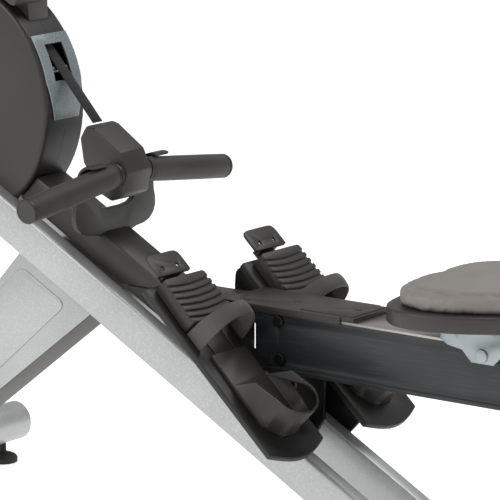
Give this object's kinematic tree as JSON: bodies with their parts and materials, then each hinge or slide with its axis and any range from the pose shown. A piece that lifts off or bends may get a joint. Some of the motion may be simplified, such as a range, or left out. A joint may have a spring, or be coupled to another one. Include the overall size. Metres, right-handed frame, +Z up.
{
  "type": "rowing machine",
  "caption": "Folding rowing machine with a sloping twin-tube frame, covered flywheel drive, strap-pulled handle, adjustable foot plates, console and a sliding seat on a long rail.",
  "frame": {"origin": "on the floor at the centre of the overall footprint", "axes": "+X runs back along the rail from the flywheel to the seat, +Y to the seated user's right, +Z up"},
  "size_m": [2.245, 0.516, 1.142],
  "materials": {
    "silver_paint": "silver powder coat",
    "grey_paint": "grey paint",
    "dark_plastic": "fine moulded texture",
    "trim_plastic": "brushed look grey",
    "grip_foam": "matte foam grip",
    "rubber": "matte",
    "dark_anodised": "dark anodised",
    "stainless_track": "brushed",
    "dark_steel": "black coat",
    "bright_steel": "turned",
    "carriage_aluminium": "satin",
    "seat_foam": "soft moulded foam skin",
    "webbing": "woven",
    "strap_rubber": "matte moulded",
    "screen_glass": "dark display window"
  },
  "bodies": {
    "frame": {"axle_bearing_left": "bright_steel", "axle_bearing_right": "bright_steel", "beam_cover": "dark_plastic", "beam_tube_left": "silver_paint", "beam_tube_right": "silver_paint", "console_arm": "dark_plastic", "drive_belt": "rubber", "foot_front_left": "rubber", "foot_front_right": "rubber", "foot_middle_left": "rubber", "foot_middle_right": "rubber", "foot_strap_left": "strap_rubber", "foot_strap_right": "strap_rubber", "front_leg": "silver_paint", "front_stabiliser": "silver_paint", "gusset_fairing": "grey_paint", "handle_dock": "dark_plastic", "housing_cover_left": "dark_plastic", "housing_cover_right": "dark_plastic", "magnet_yoke": "dark_steel", "middle_stabiliser": "silver_paint", "pedal_base_left": "dark_plastic", "pedal_base_right": "dark_plastic", "pedal_bracket_left": "dark_steel", "pedal_bracket_right": "dark_steel", "pivot_bolt": "dark_steel", "rail_bracket": "dark_steel", "slot_trim": "trim_plastic", "toe_block_left": "dark_plastic", "toe_block_right": "dark_plastic"},
    "transport_wheel_left": {"transport_wheel_left": "rubber"},
    "transport_wheel_right": {"transport_wheel_right": "rubber"},
    "rail": {"seat_rail": "dark_anodised", "stop_bolt": "dark_steel", "rail_track": "stainless_track", "rail_cover_plate": "dark_plastic", "rail_end_cap": "dark_plastic", "rear_leg": "silver_paint", "foot_rear_left": "rubber", "foot_rear_right": "rubber"},
    "carriage": {"seat_base": "dark_plastic", "seat_pad": "seat_foam", "seat_carriage": "carriage_aluminium"},
    "seat_rollers_front": {"seat_rollers_front": "dark_plastic"},
    "seat_rollers_rear": {"seat_rollers_rear": "dark_plastic"},
    "flywheel": {"flywheel": "dark_steel"},
    "pulley_shaft": {"flywheel_axle": "bright_steel"},
    "strap_drum": {"strap_drum": "dark_plastic"},
    "strap_roller": {"strap_roller": "bright_steel"},
    "handle": {"handle_body": "dark_plastic", "grip_left": "grip_foam", "grip_right": "grip_foam", "drive_strap": "webbing"},
    "console": {"console_case": "dark_plastic", "console_screen": "screen_glass"},
    "console_button_1": {"console_button_1": "trim_plastic"},
    "console_button_2": {"console_button_2": "trim_plastic"},
    "console_button_3": {"console_button_3": "trim_plastic"},
    "heel_slider_left": {"heel_slider_left": "dark_plastic"},
    "heel_slider_right": {"heel_slider_right": "dark_plastic"}
  },
  "joints": [
    {"name": "rail_fold", "type": "hinge", "parent": "frame", "child": "rail", "pos_m": [-0.2755, 0, 0.385], "axis": [0, -1, 0], "range_deg": [0, 80]},
    {"name": "seat_slide", "type": "slide", "parent": "rail", "child": "carriage", "axis": [1, 0, 0], "range_m": [-0.12, 0.9]},
    {"name": "seat_roller_front_spin", "type": "hinge", "parent": "carriage", "child": "seat_rollers_front", "pos_m": [0.0375, 0, 0.4163], "axis": [0, 1, 0], "continuous": true},
    {"name": "seat_roller_rear_spin", "type": "hinge", "parent": "carriage", "child": "seat_rollers_rear", "pos_m": [0.1275, 0, 0.4163], "axis": [0, 1, 0], "continuous": true},
    {"name": "handle_pull", "type": "slide", "parent": "frame", "child": "handle", "axis": [0.9806, 0, 0.1961], "range_m": [0, 1], "stiffness_N_per_m": 20, "springref_m": -0.3, "deforming": ["drive_strap"]},
    {"name": "strap_drum_spin", "type": "hinge", "parent": "frame", "child": "strap_drum", "pos_m": [-0.80851, 0, 0.75772], "axis": [0, 1, 0], "continuous": true},
    {"name": "pulley_spin", "type": "hinge", "parent": "frame", "child": "pulley_shaft", "pos_m": [-0.9375, 0, 0.625], "axis": [0, 1, 0], "continuous": true},
    {"name": "strap_roller_spin", "type": "hinge", "parent": "frame", "child": "strap_roller", "pos_m": [-0.72468, 0, 0.70546], "axis": [0, 1, 0], "continuous": true},
    {"name": "flywheel_spin", "type": "hinge", "parent": "frame", "child": "flywheel", "pos_m": [-0.9375, 0, 0.625], "axis": [0, 1, 0], "continuous": true},
    {"name": "transport_wheel_left_spin", "type": "hinge", "parent": "frame", "child": "transport_wheel_left", "pos_m": [-1.0945, -0.15, 0.0515], "axis": [0, 1, 0], "continuous": true},
    {"name": "transport_wheel_right_spin", "type": "hinge", "parent": "frame", "child": "transport_wheel_right", "pos_m": [-1.0945, 0.15, 0.0515], "axis": [0, 1, 0], "continuous": true},
    {"name": "heel_slide_left", "type": "slide", "parent": "frame", "child": "heel_slider_left", "axis": [0.7302, 0, -0.6833], "range_m": [-0.045, 0]},
    {"name": "heel_slide_right", "type": "slide", "parent": "frame", "child": "heel_slider_right", "axis": [0.7302, 0, -0.6833], "range_m": [-0.045, 0]},
    {"name": "console_tilt", "type": "hinge", "parent": "frame", "child": "console", "pos_m": [-0.7775, 0, 0.96], "axis": [0, 1, 0], "range_deg": [-15, 15]},
    {"name": "console_button_1_press", "type": "slide", "parent": "console", "child": "console_button_1", "axis": [-0.9272, 0, -0.3746], "range_m": [0, 0.002], "stiffness_N_per_m": 400, "springref_m": -0.001},
    {"name": "console_button_2_press", "type": "slide", "parent": "console", "child": "console_button_2", "axis": [-0.9272, 0, -0.3746], "range_m": [0, 0.002], "stiffness_N_per_m": 400, "springref_m": -0.001},
    {"name": "console_button_3_press", "type": "slide", "parent": "console", "child": "console_button_3", "axis": [-0.9272, 0, -0.3746], "range_m": [0, 0.002], "stiffness_N_per_m": 400, "springref_m": -0.001}
  ],
  "couplings": [
    {"joint": "seat_roller_front_spin", "follows": "seat_slide", "rad_per_m": 62.5},
    {"joint": "seat_roller_rear_spin", "follows": "seat_slide", "rad_per_m": 62.5},
    {"joint": "strap_drum_spin", "follows": "handle_pull", "rad_per_m": 28.736},
    {"joint": "pulley_spin", "follows": "handle_pull", "rad_per_m": 59.068},
    {"joint": "strap_roller_spin", "follows": "handle_pull", "rad_per_m": 166.67}
  ]
}
